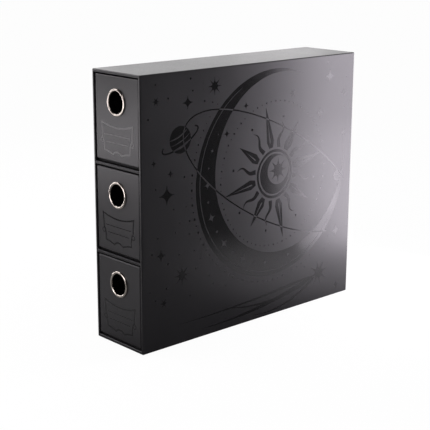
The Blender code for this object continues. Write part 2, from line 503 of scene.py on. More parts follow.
def wrap_shelf(name):
    """A strip of paper round the front edge of one shelf, over a board that is a little thinner."""
    low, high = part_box(name)
    radius = SHELF_FOLD
    outline = [(low.y + SHELF_STRIP, high.z)]
    for back, up in bend(radius, FOLD_STEPS, 1, 2):
        outline.append((low.y + radius + back, high.z - radius + up))
    for back, up in bend(radius, FOLD_STEPS, 2, 3):
        outline.append((low.y + radius + back, low.z + radius + up))
    outline.append((low.y + SHELF_STRIP, low.z))
    strip = bmesh.new()
    rows = [[strip.verts.new((side, depth, up)) for depth, up in outline] for side in (low.x, high.x)]
    for index in range(len(outline) - 1):
        strip.faces.new((rows[0][index], rows[0][index + 1], rows[1][index + 1], rows[1][index]))
    turn_outwards(strip, Vector((0, -1, 0)))
    paper = add_piece(name + "_paper", strip, shelf_paper, PAPER)

    core = bmesh.new()
    gap = PAPER + GLUE
    sizes = ((low.x, low.y + gap, low.z + gap), (high.x, high.y, high.z - gap))
    bmesh.ops.create_cube(core, size=1.0)
    for vert in core.verts:
        vert.co = [sizes[value > 0][axis] for axis, value in enumerate(vert.co)]
    bmesh.ops.bevel(core, geom=core.edges[:], offset=BOARD_EDGE, segments=2, affect="EDGES", profile=0.5)
    wood = add_piece(name + "_board", core, board)
    for piece in (paper, wood):
        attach(piece, "case")
    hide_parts(name)
    return paper


for name in ("upper_shelf", "lower_shelf"):
    wrap_shelf(name)
print("shelf strips reach", SHELF_STRIP, "m in")

# %% [markdown]
# ## Flat shapes with holes
# A panel with a finger hole, a label or a printed figure is a flat region first. Constrained Delaunay
# triangulation takes any number of overlapping outlines, cuts them where they cross, and says for
# each triangle which outlines it lies in. A rule on those answers then keeps or drops it, so shapes
# can be joined, cleared out of each other, or reversed where they cross.

# %% Triangulate outlines by a rule
def region(outlines, rule):
    """Triangles inside outlines, given as (role, points) pairs. The rule gets the set of roles that
    a triangle lies in. Returns points, triangles and the input number of each point, or None."""
    points, faces, roles = [], [], []
    for role, outline in outlines:
        area = sum(a[0] * b[1] - b[0] * a[1] for a, b in zip(outline, outline[1:] + outline[:1]))
        start = len(points)
        points += [Vector(point) for point in (outline if area > 0 else outline[::-1])]
        faces.append(list(range(start, len(points))))
        roles.append(role)
    found, _, triangles, origins, _, sources = delaunay_2d_cdt(points, [], faces, 1, 1e-7)
    kept = [triangle for triangle, source in zip(triangles, sources)
            if rule({roles[index] for index in source})]
    return found, kept, [origin[0] if origin else None for origin in origins]


def circle(across, up, radius, steps):
    """Points of a circle."""
    angles = [2 * math.pi * step / steps for step in range(steps)]
    return [(across + radius * math.cos(angle), up + radius * math.sin(angle)) for angle in angles]


def fill_with_hole(shape, ring, hole):
    """Faces between a ring of vertices and a ring of hole vertices that lie in one plane y."""
    verts = ring + hole
    flat = [(vert.co.x, vert.co.z) for vert in verts]
    outlines = [("board", flat[:len(ring)]), ("hole", flat[len(ring):])]
    lookup = {(round(x, 7), round(z, 7)): vert for (x, z), vert in zip(flat, verts)}
    found, triangles, _ = region(outlines, lambda roles: "hole" not in roles)
    for triangle in triangles:
        corners = [lookup[round(found[index].x, 7), round(found[index].y, 7)] for index in triangle]
        shape.faces.new(corners)


print("flat shapes ready")

# %% [markdown]
# ## Drawer fronts
# A front is a thick board, wrapped, with paper folded over its edges, so all its edges are round and
# its corners are tight. It is made as loops again, from the back face over the edges to the front
# face, and both faces are filled round the finger hole.

# %% Make the drawer fronts
FRONT_FOLD = 0.0013
HOLE_STEPS = 96
HOLE_INSET = 0.0024


def finger_ring_size(name):
    """The middle of a drawer's finger ring across and up, and its outer radius."""
    low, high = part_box(name + "_drawer_finger_ring")
    return (low.x + high.x) / 2, (low.z + high.z) / 2, (high.x - low.x) / 2


def make_front(name):
    """The wrapped front board of one drawer."""
    node_name = name + "_drawer_front_panel"
    low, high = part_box(node_name)
    across, up, outer = finger_ring_size(name)
    hole_radius = outer - HOLE_INSET

    def loop(depth, inset):
        corners = corner_loop((low.x + inset, low.z + inset), (high.x - inset, high.z - inset),
                              FRONT_FOLD - inset, FOLD_STEPS)
        return [(x, depth, z) for x, z in corners]

    loops = [loop(high.y - FRONT_FOLD + back, FRONT_FOLD - out)
             for out, back in bend(FRONT_FOLD, FOLD_STEPS, 1, 0)]
    loops += [loop(low.y + FRONT_FOLD - forward, FRONT_FOLD - out)
              for out, forward in bend(FRONT_FOLD, FOLD_STEPS, 0, 1)]
    shape = bmesh.new()
    rings = sweep(shape, loops)
    holes = sweep(shape, [[(x, depth, z) for x, z in circle(across, up, hole_radius, HOLE_STEPS)]
                          for depth in (high.y, low.y)])
    fill_with_hole(shape, rings[0], holes[0])
    fill_with_hole(shape, rings[-1], holes[-1])
    turn_outwards(shape, Vector((0, -1, 0)))
    piece = add_piece(name + "_drawer_front", shape, front_papers[name])
    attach(piece, name + "_drawer")
    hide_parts(node_name)
    return piece


for name in DRAWERS:
    front = make_front(name)
print("drawer front:", len(front.data.polygons), "faces")

# %% [markdown]
# ## Card trays
# A tray is one box of thin board, wrapped outside, with the wrap turned over the top of the walls and
# a lining sheet glued in afterwards. The lining stops just below the rim, so a narrow band of the wrap
# shows above it. The wrapped box and the lining are two pieces, both made of loops from the bottom
# upwards, with the front wall filled round the finger hole.

# %% Make the trays
TRAY_FOLD = 0.0008
TRAY_CORNER = 0.0012
LINING_DROP = 0.003
LINING_SHEET = 0.00012
LINING_GAP = 0.00002
LINING_CREASE = 0.0006
TRAY_BEND_STEPS = 4


def pierce_front(shape, across, up, radius, wanted):
    """Replace a front wall face that looks a wanted way by one with a round hole. Returns the
    hole's vertices."""
    walls = [face for face in shape.faces if face.normal.y * wanted > 0.99
             and face.calc_center_median().y < 0]
    wall = max(walls, key=lambda face: face.calc_area())
    ring = list(wall.verts)
    depth = ring[0].co.y
    shape.faces.remove(wall)
    hole = [shape.verts.new((x, depth, z)) for x, z in circle(across, up, radius, HOLE_STEPS)]
    fill_with_hole(shape, ring, hole)
    return hole


def tray_sizes(name):
    """Corners of a tray's outside, its wall and its floor."""
    left_low, left_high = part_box(name + "_drawer_left_side")
    right_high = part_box(name + "_drawer_right_side")[1]
    floor_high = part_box(name + "_drawer_floor")[1]
    return left_low, right_high, left_high.x - left_low.x, floor_high.z - left_low.z


def make_tray(name):
    """The wrapped box of one tray: outside, over the rim, and down inside to the floor."""
    low, high, wall, floor = tray_sizes(name)
    across, up, outer = finger_ring_size(name)

    def loop(height, inset, radius):
        return [(x, y, height) for x, y in corner_loop((low.x + inset, low.y + inset),
                                                       (high.x - inset, high.y - inset), radius, 4)]

    loops = [loop(low.z + TRAY_FOLD - down, TRAY_FOLD - out, TRAY_CORNER - TRAY_FOLD + out)
             for out, down in bend(TRAY_FOLD, TRAY_BEND_STEPS, 1, 0)]
    loops += [loop(high.z - TRAY_FOLD + rise, TRAY_FOLD - out, TRAY_CORNER - TRAY_FOLD + out)
              for out, rise in bend(TRAY_FOLD, TRAY_BEND_STEPS, 0, 1)]
    loops += [loop(high.z - TRAY_FOLD + rise, wall - TRAY_FOLD - back, 0.0003)
              for back, rise in bend(TRAY_FOLD, TRAY_BEND_STEPS, 1, 2)]
    loops.append(loop(low.z + floor, wall, 0.0003))
    shape = bmesh.new()
    rings = sweep(shape, loops)
    shape.faces.new(rings[0])
    shape.faces.new(rings[-1])
    turn_outwards(shape, Vector((0, -1, 0)))
    outside = pierce_front(shape, across, up, outer - HOLE_INSET, -1)
    inside = pierce_front(shape, across, up, outer - HOLE_INSET, 1)
    for index in range(HOLE_STEPS):
        after = (index + 1) % HOLE_STEPS
        shape.faces.new((outside[index], outside[after], inside[after], inside[index]))
    turn_outwards(shape, Vector((0, -1, 0)))
    return add_piece(name + "_tray_wrap", shape, slot_shade_tray_paper)


def line_tray(name):
    """The lining sheet inside one tray, open at the top."""
    low, high, wall, floor = tray_sizes(name)
    across, up, outer = finger_ring_size(name)
    inset = wall + LINING_SHEET + LINING_GAP
    bottom = low.z + floor + LINING_SHEET + LINING_GAP
    crease = LINING_CREASE

    def loop(height, inward):
        return [(x, y, height) for x, y in corner_loop((low.x + inward, low.y + inward),
                                                       (high.x - inward, high.y - inward), 0.0004, 4)]

    loops = [loop(high.z - LINING_DROP, inset)]
    loops += [loop(bottom + crease - down, inset + crease - out)
              for out, down in bend(crease, TRAY_BEND_STEPS, 0, 1)]
    shape = bmesh.new()
    rings = sweep(shape, loops)
    shape.faces.new(rings[-1])
    turn_outwards(shape, Vector((0, 0, -1)))
    bmesh.ops.reverse_faces(shape, faces=shape.faces)
    pierce_front(shape, across, up, outer - HOLE_INSET, 1)
    shape.normal_update()
    return add_piece(name + "_tray_lining", shape, lining, LINING_SHEET)


# Painted shade: the tray wrap is a darker black than the lining paper, so that the slot under each drawer front,
# where this paper shows, looks as dark as a shadowed gap.
slot_shade_tray_paper = dry_paper("tray wrap paper with painted slot shade", (0.0050, 0.0050, 0.0053), (0.017, 0.0165, 0.017), 0.66,
                       1500.0, 120.0, gloss=0.12)
for name in DRAWERS:
    wrap, sheet = make_tray(name), line_tray(name)
    for piece in (wrap, sheet):
        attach(piece, name + "_drawer")
    boards = ("left_side", "right_side", "back", "inner_front", "floor")
    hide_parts(*[name + "_drawer_" + part for part in boards])
print("tray wall and floor:", [round(value, 4) for value in tray_sizes(name)[2:]])

# %% [markdown]
# ## Finger rings
# The ring is an eyelet, turned from sheet: a domed bead in front, a barrel through both boards and a
# rolled flare that holds a washer behind. A turned part is an outline spun about a line, so both are
# made from outlines of radius and depth, with enough steps that the highlights run smoothly.

# %% Turn the rings and washers
RING_STEPS = 128
BEAD_STEPS = 16
BEAD_WIDTH = 0.0035
BARREL_WALL = 0.0008
SEAT_GAP = 0.00012
TUCK, FLARE = 0.0006, 0.0005
WASHER_PLAY, WASHER_EDGE = 0.0003, 0.00018


def turned(name, outline, across, up):
    """Spin a closed outline of radius and depth pairs about a line along Y."""
    shape = bmesh.new()
    loops = [[(x, depth, z) for x, z in circle(across, up, radius, RING_STEPS)]
             for radius, depth in outline]
    sweep(shape, loops + loops[:1])
    bmesh.ops.remove_doubles(shape, verts=shape.verts, dist=1e-7)
    turn_outwards(shape, Vector((0, -1, 0)))
    return add_piece(name, shape, nickel)


def make_ring(name):
    """The eyelet of one drawer and the washer behind it, from the sizes of their solids."""
    low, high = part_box(name + "_drawer_finger_ring")
    washer_low, washer_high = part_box(name + "_drawer_ring_washer")
    panel_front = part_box(name + "_drawer_front_panel")[0].y
    across, up, outer = finger_ring_size(name)
    bore = outer - BEAD_WIDTH
    barrel = bore + BARREL_WALL
    washer = (washer_high.x - washer_low.x) / 2
    seat = panel_front - SEAT_GAP
    middle, half = (outer + bore) / 2, (outer - bore) / 2
    rise = seat - low.y
    outline = []
    for step in range(BEAD_STEPS + 1):
        angle = math.pi * step / BEAD_STEPS
        side = math.copysign(abs(math.cos(angle)) ** 0.82, math.cos(angle))
        outline.append((middle + half * side, seat - rise * math.sin(angle) ** 0.80))
    outline.append((bore, high.y - TUCK))
    for out, back in bend(TUCK, 5, 2, 1):
        outline.append((bore + TUCK + out, high.y - TUCK + back))
    for out, back in bend(FLARE, 6, 1, -1):
        outline.append((barrel + 0.0004 + out, high.y - FLARE + back))
    outline += [(barrel, washer_high.y + 0.0002), (barrel, seat)]
    ring = turned(name + "_finger_eyelet", outline, across, up)
    edge, eye = WASHER_EDGE, barrel + WASHER_PLAY
    flat = [(washer, washer_low.y), (washer, washer_high.y - edge), (washer - edge, washer_high.y),
            (eye + edge, washer_high.y), (eye, washer_high.y - edge), (eye, washer_low.y)]
    plate = turned(name + "_eyelet_washer", flat, across, up)
    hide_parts(name + "_drawer_finger_ring")
    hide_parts(name + "_drawer_ring_washer")
    for piece in (ring, plate):
        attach(piece, name + "_drawer")
    return ring


for name in DRAWERS:
    ring = make_ring(name)
print("finger ring:", len(ring.data.polygons), "faces")

# %% [markdown]
# ## Raised varnish
# Spot varnish is a thin, crisp layer on the paper. Each figure is drawn in millimetres on a flat
# panel from strokes and filled outlines. A stroke is a chain of small quadrilaterals along a path,
# and where they overlap the triangulation joins them. The region is then given a front, a back and
# side walls, and laid on the panel.

# %% Draw strokes and raise a region
VARNISH_HEIGHT = 0.00004
VARNISH_FOOT = 0.000002
NEEDLE_WIDTH = 0.02
MILLIMETRE = 0.001


def stroke(path, widths, closed=False):
    """Quadrilaterals along a path, with one width or a width for each point."""
    count = len(path)
    if not isinstance(widths, (list, tuple)):
        widths = [widths] * count
    sides = []
    for index, (across, up) in enumerate(path):
        before = path[index - 1] if index or closed else path[0]
        after = path[(index + 1) % count] if index < count - 1 or closed else path[-1]
        run, rise = after[0] - before[0], after[1] - before[1]
        length = math.hypot(run, rise) or 1.0
        half = widths[index] / 2
        sides.append(((across - rise / length * half, up + run / length * half),
                      (across + rise / length * half, up - run / length * half)))
    pieces = []
    for index in range(count if closed else count - 1):
        first, second = sides[index], sides[(index + 1) % count]
        quad = [first[1], second[1], second[0], first[0]]
        if widths[index] < NEEDLE_WIDTH:
            quad = [path[index], second[1], second[0]]
        elif widths[(index + 1) % count] < NEEDLE_WIDTH:
            quad = [first[1], path[(index + 1) % count], first[0]]
        pieces.append(quad)
    return pieces


def raise_region(name, outlines, rule, place):
    """A thin closed layer over a region. The place turns across, up and height into a point."""
    found, triangles, _ = region(outlines, rule)
    shape = bmesh.new()
    top, bottom = {}, {}
    for triangle in triangles:
        for index in triangle:
            if index not in top:
                across, up = found[index] * MILLIMETRE
                top[index] = shape.verts.new(place(across, up, VARNISH_HEIGHT))
                bottom[index] = shape.verts.new(place(across, up, VARNISH_FOOT))
    edges = []
    for triangle in triangles:
        shape.faces.new([top[index] for index in triangle])
        shape.faces.new([bottom[index] for index in reversed(triangle)])
        edges += zip(triangle, triangle[1:] + triangle[:1])
    present = set(edges)
    for first, second in edges:
        if (second, first) not in present:
            shape.faces.new((top[second], top[first], bottom[first], bottom[second]))
    bmesh.ops.recalc_face_normals(shape, faces=shape.faces)
    return add_piece(name, shape, varnish, smooth=False)


print("varnish stands", VARNISH_HEIGHT * 1000, "mm proud")

# %% [markdown]
# ## Labels on the drawer fronts
# Each front has a place to write on: a scroll-shaped outline with two writing lines, printed in
# varnish under the finger ring. It is the same on both sides of its middle, so half of the outline is
# listed and mirrored. Its sizes are in millimetres from the panel's middle and above the bay's floor.

# %% Print the labels
LABEL_HALF = 30.4
LABEL_TOP, LABEL_SAG = 51.0, 5.4
LABEL_SIDE = ((28.9, 33.2), (28.3, 32.0), (27.0, 30.6), (26.3, 28.9), (26.2, 27.4), (25.4, 25.6))
LABEL_EYE = (29.1, 28.3)
LABEL_FOOT = (25.0, 16.4)
LABEL_DIP = (8.4, 12.6)
LABEL_ARCH = 16.0
LABEL_LINE = 2.0
WRITING_LINE = 0.9
EYE_RADIUS, EYE_LINE = 2.75, 1.15
WRITING_LINES = ((35.9, 25.2), (26.8, 20.6))


def curve_through(first, middle, last, steps):
    """Points of a quadratic curve that passes a middle point halfway."""
    control = [2 * middle[axis] - (first[axis] + last[axis]) / 2 for axis in (0, 1)]
    points = []
    for step in range(steps + 1):
        t = step / steps
        points.append(tuple((1 - t) ** 2 * first[axis] + 2 * t * (1 - t) * control[axis]
                            + t * t * last[axis] for axis in (0, 1)))
    return points


def halfway(first, last, across=0.0, up=0.0):
    """The middle between two points, moved a little."""
    return (first[0] + last[0]) / 2 + across, (first[1] + last[1]) / 2 + up


def label_outlines():
    """The label's strokes, as outlines with their role."""
    spike = (LABEL_HALF, LABEL_TOP)
    sagging = curve_through((-LABEL_HALF, LABEL_TOP), (0, LABEL_TOP - LABEL_SAG), spike, 32)
    strokes = stroke(sagging, LABEL_LINE)
    for up, reach in WRITING_LINES:
        strokes += stroke([(-reach, up), (reach, up)], WRITING_LINE)
    half = curve_through(spike, halfway(spike, LABEL_SIDE[0], across=-0.5), LABEL_SIDE[0], 12)
    eye = [(LABEL_EYE[0] + EYE_RADIUS * math.sin(turn), LABEL_EYE[1] + EYE_RADIUS * math.cos(turn))
           for turn in (2 * math.pi * step / 24 for step in range(24))]
    waist = LABEL_SIDE[-1]
    lower = [*LABEL_SIDE[:-1]]
    lower += curve_through(waist, (waist[0] - 0.5, (waist[1] + LABEL_FOOT[1]) / 2), LABEL_FOOT, 8)
    foot = curve_through(LABEL_FOOT, halfway(LABEL_FOOT, LABEL_DIP, up=0.7), LABEL_DIP, 12)
    arch = curve_through(LABEL_DIP, (LABEL_DIP[0] / 2, LABEL_ARCH - 0.6), (0, LABEL_ARCH), 8)
    for side in (-1, 1):
        for path, closed in ((half, False), (eye, True), (lower, False), (foot, False), (arch, False)):
            mirrored = [(side * across, up) for across, up in path]
            strokes += stroke(mirrored, EYE_LINE if closed else LABEL_LINE, closed)
        for across, up in (spike, LABEL_FOOT, LABEL_DIP):
            strokes.append(circle(side * across, up, LABEL_LINE / 2, 12))
    return [("line", outline) for outline in strokes]


def print_label(name):
    """The varnish label of one drawer."""
    low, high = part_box(name + "_drawer_front_panel")
    middle, floor = (low.x + high.x) / 2, BAY_FLOORS[name]
    piece = raise_region(name + "_label_print", label_outlines(), lambda roles: "line" in roles,
                         lambda across, up, height: (middle + across, low.y - height, floor + up))
    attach(piece, name + "_drawer")
    return piece


for name in DRAWERS:
    label = print_label(name)
print("label:", len(label.data.polygons), "faces")

# %% [markdown]
# ## The figure on the sides
# The sides carry one large varnish figure: a night sky with a sun rose inside a great crescent, a
# comet, planets, orbits and stars. Solid shapes join each other, thin lines reverse wherever they
# cross a solid shape, and clear shapes cut through all. It is drawn in millimetres, from the front
# edge and the base of the side.

# %% Draw the sky
SUN = (226.0, 196.0)
ORBIT_HALVES, ORBIT_TILT = (176.0, 62.0), -27.0
RINGED_PLANET, SMALL_PLANET = (62.0, 262.0), (352.0, 176.0)
COMET = (318.0, 40.0)
COMET_TAILS = ((-9.0, (96.0, 11.0), 7.5), (-15.0, (132.0, 31.0), 6.0),
               (-4.0, (58.0, 26.0), 4.6), (-14.0, (186.0, 8.0), 4.2))
STARS = ((40.0, 196.0, 13.0, 4), (74.0, 306.0, 9.0, 4), (24.0, 312.0, 6.0, 6),
         (118.0, 322.0, 12.0, 8), (30.0, 122.0, 8.0, 4), (64.0, 90.0, 13.5, 8),
         (34.0, 60.0, 6.0, 6), (352.0, 96.0, 9.0, 4), (362.0, 236.0, 6.5, 6),
         (330.0, 316.0, 10.0, 4), (360.0, 292.0, 7.0, 4), (46.0, 222.0, 5.0, 4),
         (20.0, 238.0, 4.5, 4), (356.0, 14.0, 6.0, 4), (312.0, 268.0, 8.0, 4),
         (258.0, 300.0, 6.0, 6), (172.0, 292.0, 5.0, 4), (139.0, 260.0, 5.5, 4))
SPECKLE_SIZES = (0.8, 1.0, 1.3)


def star(across, up, radius, points=4, pinch=0.5, turn=0.0, steps=12):
    """A star whose sides curve inwards: pinch near nought gives needle points."""
    outline = []
    for step in range(points * steps):
        angle = 2 * math.pi * step / (points * steps)
        local = (angle * points / 4) % (math.pi / 2)
        reach = (math.cos(local) ** pinch + math.sin(local) ** pinch) ** (-1 / pinch)
        outline.append((across + radius * reach * math.cos(angle + turn),
                        up + radius * reach * math.sin(angle + turn)))
    return outline


def arc(centre, radius, start, end, steps):
    """Points of an arc, from one angle to another in degrees."""
    turns = [math.radians(start + (end - start) * step / steps) for step in range(steps + 1)]
    return [(centre[0] + radius * math.cos(turn), centre[1] + radius * math.sin(turn)) for turn in turns]


def swung(centre, along, beside, turn):
    """A point along a direction from a centre, and some way beside it."""
    return (centre[0] + along * math.cos(turn) - beside * math.sin(turn),
            centre[1] + along * math.sin(turn) + beside * math.cos(turn))


def around(angle, outer, sideways):
    """A point beside a ray from the sun, in degrees and millimetres."""
    return swung(SUN, outer, sideways, math.radians(angle))


def sun_rose():
    """The sun: a ring round a small moon and star, pointed rays and wavy flames between them."""
    shapes = [("solid", circle(*SUN, 33.0, 72)), ("clear", circle(*SUN, 29.5, 72)),
              ("over", circle(*SUN, 27.0, 72)), ("cut", circle(SUN[0] + 6.5, SUN[1] + 4.5, 19.5, 60)),
              ("top", star(SUN[0] + 6.5, SUN[1] + 4.5, 17.0, 8, 0.62))]
    for index in range(16):
        angle = 360 / 16 * index + 11.25
        if index % 2 == 0:
            reach = 92.0 if index % 4 == 0 else 78.0
            blade = ((36.0, -3.4), (45.0, -6.6), (reach, 0.0), (45.0, 6.6), (36.0, 3.4))
            slit = ((43.5, -0.2), (reach - 14.0, 0.0), (43.5, 1.6), (41.5, 0.7))
            shapes += [("solid", [around(angle, *point) for point in blade]),
                       ("clear", [around(angle, *point) for point in slit])]
        else:
            steps = 22
            path, widths = [], []
            for step in range(steps + 1):
                share = step / steps
                sway = 4.2 * math.sin(share * 2.1 * math.pi) * share ** 0.5
                path.append(around(angle, 36.0 + 34.0 * share, sway))
                widths.append(max(6.4 * (1 - share) ** 0.8, 0.01))
            shapes += [("solid", quad) for quad in stroke(path, widths)]
            shapes.append(("solid", circle(*around(angle, 76.5, 0.0), 1.7, 16)))
    return shapes


def crescent():
    """The great crescent, with a line and a row of stars and dots cleared out of it."""
    outer = arc(SUN, 139.0, 0, 360, 180)[:-1]
    inner_middle = (SUN[0] + 15.0, SUN[1] + 13.0)
    shapes = [("moon", outer), ("bite", arc(inner_middle, 121.5, 0, 360, 180)[:-1])]
    lower = math.degrees(math.atan2(-13.0, -15.0))
    line = arc((SUN[0] + 1.2, SUN[1] + 1.0), 133.5, lower - 104, lower + 104, 130)
    fade = [max(1.5 * math.sin(math.pi * index / 130) ** 0.4, 0.01) for index in range(131)]
    shapes += [("clear", quad) for quad in stroke(line, fade)]
    for index in range(-8, 9):
        angle = math.radians(lower + index * 10.5)
        size = 5.6 * math.cos(math.radians(index * 9.6)) ** 1.4
        radius = 119.5 + 1.6 * (abs(index) / 8) ** 2
        middle = (SUN[0] + radius * math.cos(angle), SUN[1] + radius * math.sin(angle))
        if index % 2 == 0:
            shapes.append(("clear", star(*middle, size * 1.35, 4, 0.55, angle)))
        else:
            shapes.append(("clear", circle(*middle, size * 0.34, 18)))
    return shapes


def orbit(centre, long_half, short_half, tilt, width, start=0, end=360):
    """A thin tilted ellipse that reverses what it crosses."""
    steps = 200
    turn = math.radians(tilt)
    path = []
    for step in range(steps + 1):
        angle = math.radians(start + (end - start) * step / steps)
        along, beside = long_half * math.cos(angle), short_half * math.sin(angle)
        path.append(swung(centre, along, beside, turn))
    whole = abs(end - start) == 360
    return [("line", quad) for quad in stroke(path[:-1] if whole else path, width, whole)]


def planet(across, up, radius, tilt):
    """A banded planet."""
    shapes = [("solid", circle(across, up, radius, 60))]
    turn = math.radians(tilt)
    for offset, thick in ((0.42, 0.13), (0.02, 0.09), (-0.38, 0.16)):
        half = radius * math.sqrt(1 - offset ** 2) * 1.02
        path = []
        for step in range(25):
            along = -half + 2 * half * step / 24
            beside = offset * radius - 0.16 * radius * (1 - (along / half) ** 2)
            path.append(swung((across, up), along, beside, turn))
        widths = [max(thick * radius * math.sin(math.pi * step / 24) ** 0.5, 0.01) for step in range(25)]
        shapes += [("clear", quad) for quad in stroke(path, widths)]
    return shapes


def comet(head, tails):
    """A star with tails that sweep back from it and thin out to nothing."""
    shapes = [("solid", star(*head, 19.0, 8, 0.55, math.radians(12)))]
    for bend_height, end, width in tails:
        path = curve_through(head, halfway(head, end, up=bend_height), end, 60)[4:]
        widths = [max(width * math.sin(math.pi * min(0.5, 0.16 + index / 40)) * (1 - index / 56) ** 0.85, 0.01)
                  for index in range(len(path))]
        shapes += [("solid", quad) for quad in stroke(path, widths)]
    return shapes


def sky():
    """All the outlines of the figure."""
    shapes = sun_rose() + crescent()
    shapes += orbit(SUN, *ORBIT_HALVES, ORBIT_TILT, 1.7, 40, 322)
    shapes += comet(COMET, COMET_TAILS)
    shapes += planet(*RINGED_PLANET, 17.0, 24.0)
    shapes += orbit(RINGED_PLANET, 31.0, 8.5, 24.0, 2.0, -208, 28)
    shapes += planet(*SMALL_PLANET, 8.0, -12.0)
    taken = [(*RINGED_PLANET, 34.0), (*COMET, 26.0), (*SUN, 147.0)]
    for across, up, radius, points in STARS:
        shapes.append(("solid", star(across, up, radius, points, 0.55, 0.0)))
        taken.append((across, up, radius))
    drawn = random.Random(11)
    for _ in range(400):
        across, up = drawn.uniform(12, 368), drawn.uniform(10, 336)
        radius = drawn.choice(SPECKLE_SIZES)
        apart = all(math.hypot(across - x, up - y) > reach + 6 for x, y, reach in taken)
        if apart and not 4 < up < 52:
            shapes.append(("solid", circle(across, up, radius, 12)))
            taken.append((across, up, radius + 5))
    return shapes


def sky_rule(roles):
    """What is varnished: the last layer that a point lies in decides."""
    if "top" in roles:
        return True
    if "cut" in roles:
        return False
    if "over" in roles:
        return True
    if "clear" in roles:
        return False
    moon = "moon" in roles and "bite" not in roles
    return (moon or "solid" in roles) != ("line" in roles)


def print_side(name, side):
    """The figure on one side of the case: 1 is the right, -1 the left."""
    front, base = CASE_LOW.y, CASE_LOW.z
    piece = raise_region(name, sky(), sky_rule,
                         lambda across, up, height: (side * (CASE_HIGH.x + height), front + across, base + up))
    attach(piece, "case")
    return piece


for name, side in (("right_side_print", 1), ("left_side_print", -1)):
    figure = print_side(name, side)
print("side figure:", len(figure.data.polygons), "faces")

# %% [markdown]
# ## Rings of dots
# Dots that repeat along a ring are work for Geometry Nodes. The tree puts small discs on the corners
# of a circle, makes every second one smaller, lets them shrink away from a chosen heading and leaves
# out those that would touch the orbit, which it finds by their distance from it. The result is
# realised, turned onto its side of the case and given the varnish.

# %% Build the tree for a ring of dots
DOT_INPUTS = (("Count", "NodeSocketInt"), ("Radius", "NodeSocketFloat"), ("Dot", "NodeSocketFloat"),
              ("Every Second", "NodeSocketFloat"), ("Height", "NodeSocketFloat"), ("Heading", "NodeSocketVector"),
              ("Fade From", "NodeSocketFloat"), ("Fade To", "NodeSocketFloat"), ("Orbit", "NodeSocketVector"),
              ("Orbit Tilt", "NodeSocketVector"), ("Clearance", "NodeSocketFloat"), ("Place", "NodeSocketVector"),
              ("Turn", "NodeSocketVector"), ("Material", "NodeSocketMaterial"))
SMALLEST_DOT = 0.3
DOT_SIDES = 14


def dots_tree():
    """The node tree that makes a ring of dots."""
    tree = bpy.data.node_groups.new("ring of dots", "GeometryNodeTree")
    tree.interface.new_socket("Geometry", in_out="OUTPUT", socket_type="NodeSocketGeometry")
    for label, kind in DOT_INPUTS:
        tree.interface.new_socket(label, in_out="INPUT", socket_type=kind)
    given = tree.nodes.new("NodeGroupInput").outputs
    wires = {label: Wire(tree, given[label]) for label, _ in DOT_INPUTS}
    ring = node(tree, "GeometryNodeMeshCircle", {"fill_type": "NONE"},
                {"Vertices": wires["Count"], "Radius": wires["Radius"]})
    circle_line = node(tree, "GeometryNodeMeshCircle", {"fill_type": "NONE"}, {"Vertices": 240, "Radius": 1.0})
    orbit_line = node(tree, "GeometryNodeTransform", None,
                      {"Geometry": circle_line, "Scale": wires["Orbit"], "Rotation": wires["Orbit Tilt"]})
    apart = node(tree, "GeometryNodeProximity", {"target_element": "EDGES"}, {0: orbit_line}, output="Distance")
    position = node(tree, "GeometryNodeInputPosition")
    outwards = node(tree, "ShaderNodeVectorMath", {"operation": "NORMALIZE"}, {0: position})
    facing = node(tree, "ShaderNodeVectorMath", {"operation": "DOT_PRODUCT"}, {0: outwards, 1: wires["Heading"]},
                  output=1)
    fade = node(tree, "ShaderNodeMapRange", {"interpolation_type": "SMOOTHSTEP"},
                {0: facing, 1: wires["Fade From"], 2: wires["Fade To"], 3: 0.0, 4: 1.0})
    index = node(tree, "GeometryNodeInputIndex")
    odd = index.maths("MODULO", index, 2)
    size = fade * (1 - odd + odd * wires["Every Second"])
    clear = apart.maths("GREATER_THAN", apart, wires["Clearance"])
    kept = clear * size.maths("GREATER_THAN", size, SMALLEST_DOT)
    dot = node(tree, "GeometryNodeMeshCylinder", None,
               {"Vertices": DOT_SIDES, "Side Segments": 1, "Radius": wires["Dot"], "Depth": wires["Height"]})
    scale = node(tree, "ShaderNodeCombineXYZ", None, {0: size, 1: size, 2: 1.0})
    dots = node(tree, "GeometryNodeInstanceOnPoints", None,
                {"Points": ring, "Selection": kept, "Instance": dot, "Scale": scale})
    solid = node(tree, "GeometryNodeRealizeInstances", None, {0: dots})
    placed = node(tree, "GeometryNodeTransform", None,
                  {"Geometry": solid, "Translation": wires["Place"], "Rotation": wires["Turn"]})
    final = node(tree, "GeometryNodeSetMaterial", None, {"Geometry": placed, "Material": wires["Material"]})
    tree.links.new(final.socket, tree.nodes.new("NodeGroupOutput").inputs[0])
    return tree


def grow(name, tree, values):
    """Run a tree with its named inputs set, and keep the result as a plain mesh."""
    seed = add_object(name + "_seed", bpy.data.meshes.new(name + "_seed"))
    modifier = seed.modifiers.new("tree", "NODES")
    modifier.node_group = tree
    identifiers = {item.name: item.identifier for item in tree.interface.items_tree if item.in_out == "INPUT"}
    for label, value in values.items():
        modifier[identifiers[label]] = value
    graph = bpy.context.evaluated_depsgraph_get()
    mesh = bpy.data.meshes.new_from_object(seed.evaluated_get(graph))
    mesh.name = name
    bpy.data.objects.remove(seed)
    return add_object(name, mesh)


print("tree:", len(dots_tree().nodes), "nodes")

# %% Lay the dots on the sides
DOT_RINGS = (("inner_dots", 72, 97.0, 1.15, 0.62, -2.0, -1.5),
             ("outer_dots", 96, 146.0, 1.6, 0.6, -0.45, 0.9))
ORBIT_CLEARANCE = 0.003


